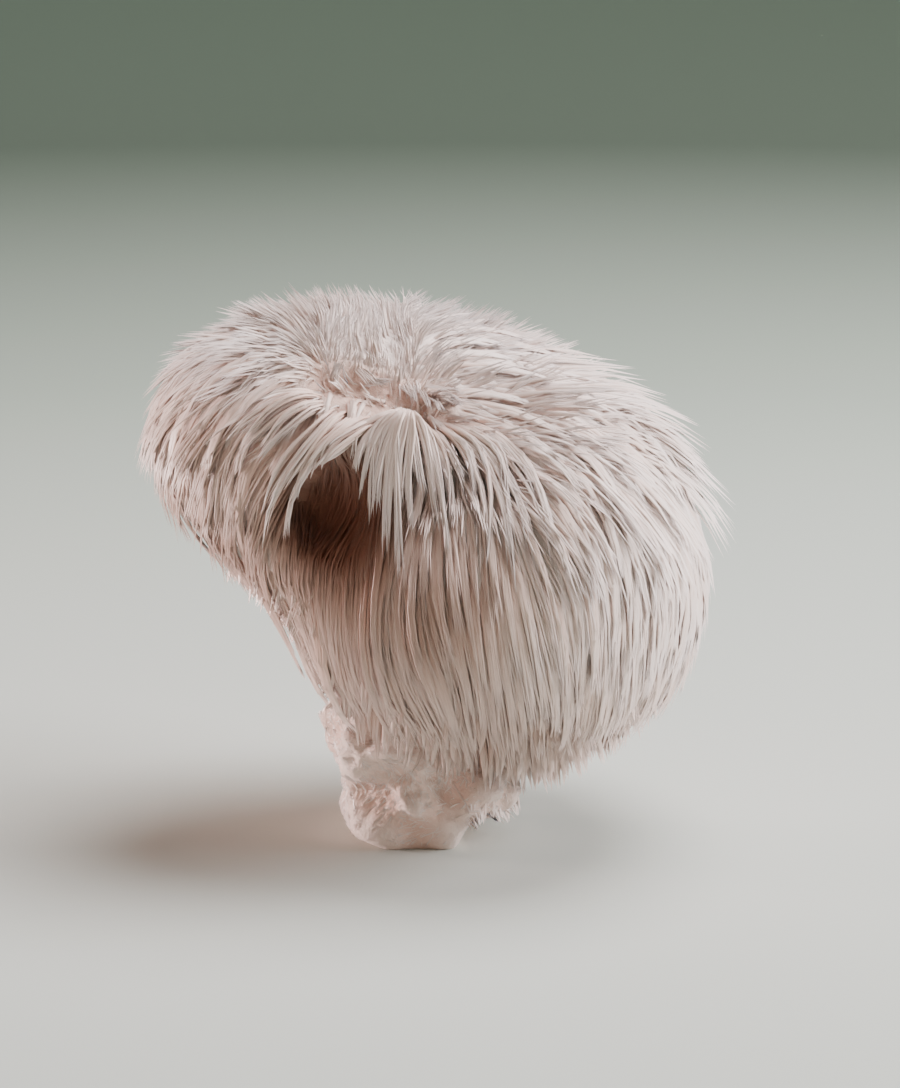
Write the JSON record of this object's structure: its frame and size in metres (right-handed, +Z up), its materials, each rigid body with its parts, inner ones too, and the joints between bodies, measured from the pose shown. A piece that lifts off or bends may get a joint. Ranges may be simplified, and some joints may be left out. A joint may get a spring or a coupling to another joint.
{
  "type": "lions mane mushroom",
  "caption": "Rounded shaggy mushroom head of long white spines falling from a short parting on its crown, on a short stalk cut flat to rest on.",
  "frame": {"origin": "middle of the flat cut at the foot of the stalk, on the surface that the mushroom stands on", "axes": "+Z up out of the cut, -Y to the front with the forelock, +X to the right seen from the front"},
  "size_m": [0.1424, 0.1158, 0.1411],
  "materials": {
    "spines": "soft, matt and slightly translucent off-white spines, warmer towards their roots"
  },
  "bodies": {
    "root": {"lions_mane": "spines"}
  },
  "joints": []
}
